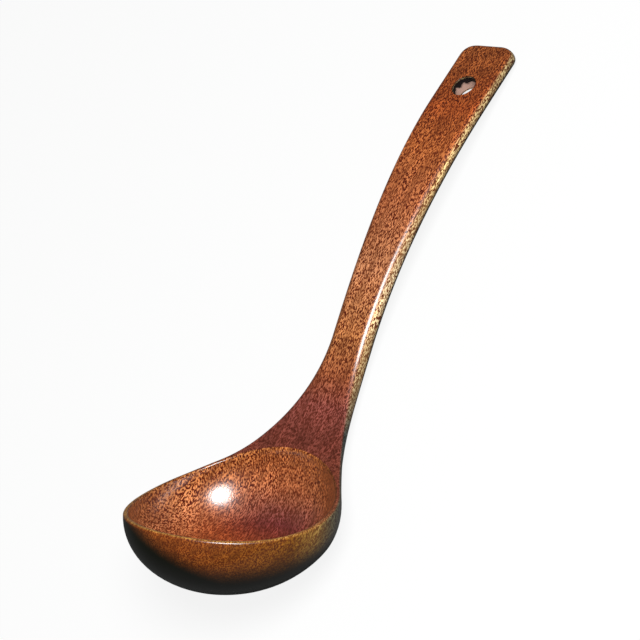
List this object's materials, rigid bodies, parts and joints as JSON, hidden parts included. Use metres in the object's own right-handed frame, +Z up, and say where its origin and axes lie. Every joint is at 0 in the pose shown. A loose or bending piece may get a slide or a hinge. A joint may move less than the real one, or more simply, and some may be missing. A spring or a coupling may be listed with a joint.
{
  "type": "lacquered wooden ladle",
  "caption": "Stained and lacquered wooden soup ladle with a round deep bowl, a flared neck and a curved strap handle with a hanging hole.",
  "frame": {"origin": "middle of the resting ladle's box, on the table that it lies on", "axes": "+X along the ladle from the bowl to the handle's end, +Z up from the table"},
  "size_m": [0.2454, 0.078, 0.0617],
  "materials": {
    "stained_wood": "stained",
    "clear_lacquer": "gloss"
  },
  "bodies": {
    "root": {"wooden_body": "stained_wood", "bowl_lacquer": "clear_lacquer", "outer_lacquer": "clear_lacquer"}
  },
  "joints": []
}
